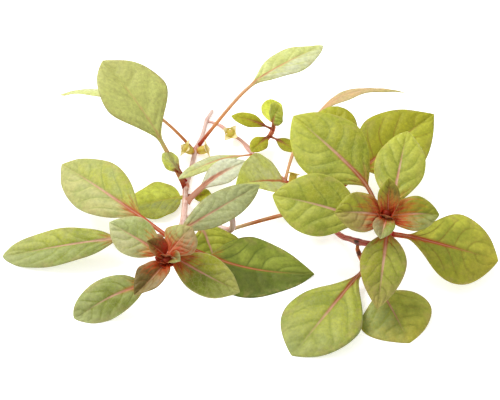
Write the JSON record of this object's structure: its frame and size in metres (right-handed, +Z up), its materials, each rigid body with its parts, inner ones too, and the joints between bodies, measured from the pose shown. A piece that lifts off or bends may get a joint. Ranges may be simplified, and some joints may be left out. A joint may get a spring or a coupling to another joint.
{
  "type": "ludwigia sprig",
  "caption": "Cut sprig of red-stemmed ludwigia lying on a table: a forked creeping stem with paired oval leaves, leafy rosettes at its rising tips and small seed capsules.",
  "frame": {"origin": "middle of the sprig's outline, on the table that it lies on", "axes": "+Z up from the table; +X along the sprig's widest spread, from the left rosette to the right one; +Y towards the cut end of the stem"},
  "size_m": [0.117, 0.0959, 0.0249],
  "materials": {
    "pink_stem": "smooth mauve-pink stem skin with pale streaks",
    "red_stem": "smooth deep red stem skin",
    "orange_stem": "smooth orange-red stem skin",
    "pale_leaf": "thin yellow-green leaf, light shows through",
    "green_leaf": "satin green leaf with a pink midrib",
    "sage_leaf": "satin grey-green leaf with a pink midrib",
    "dark_leaf": "satin dark green leaf with an orange midrib",
    "red_leaf": "satin young leaf, red to brown",
    "capsule": "smooth yellow-green seed capsule"
  },
  "bodies": {
    "root": {"left_stem": "pink_stem", "right_stem": "red_stem", "front_branch": "orange_stem", "back_shoot": "red_stem", "middle_shoot": "pink_stem", "left_leaf_1a": "red_leaf", "left_leaf_1b": "sage_leaf", "left_leaf_2a": "sage_leaf", "left_leaf_2b": "red_leaf", "left_leaf_3a": "sage_leaf", "left_leaf_3b": "green_leaf", "left_leaf_4a": "green_leaf", "left_leaf_4b": "sage_leaf", "left_leaf_5a": "pale_leaf", "left_leaf_5b": "dark_leaf", "left_leaf_6a": "green_leaf", "left_leaf_6b": "green_leaf", "left_leaf_7": "pale_leaf", "left_leaf_8a": "pale_leaf", "left_leaf_8b": "green_leaf", "left_leaf_8c": "red_leaf", "left_leaf_8d": "green_leaf", "left_leaf_9a": "pale_leaf", "left_leaf_9b": "pale_leaf", "right_leaf_1a": "dark_leaf", "right_leaf_1b": "sage_leaf", "right_leaf_2a": "green_leaf", "right_leaf_2b": "green_leaf", "right_leaf_3a": "green_leaf", "right_leaf_3b": "green_leaf", "right_leaf_4a": "green_leaf", "right_leaf_4b": "green_leaf", "right_leaf_5": "green_leaf", "right_leaf_6": "pale_leaf", "right_leaf_7": "pale_leaf", "right_leaf_8a": "red_leaf", "right_leaf_8b": "pale_leaf", "right_leaf_9": "green_leaf", "front_leaf_a": "green_leaf", "front_leaf_b": "green_leaf", "back_leaf_1": "pale_leaf", "back_leaf_2a": "green_leaf", "back_leaf_2b": "green_leaf", "back_leaf_3a": "pale_leaf", "back_leaf_3b": "pale_leaf", "middle_leaf": "green_leaf", "left_capsule_a": "capsule", "left_capsule_b": "capsule", "right_capsule_a": "capsule", "right_capsule_b": "capsule", "left_bud": "red_leaf", "right_bud": "red_leaf"}
  },
  "joints": []
}
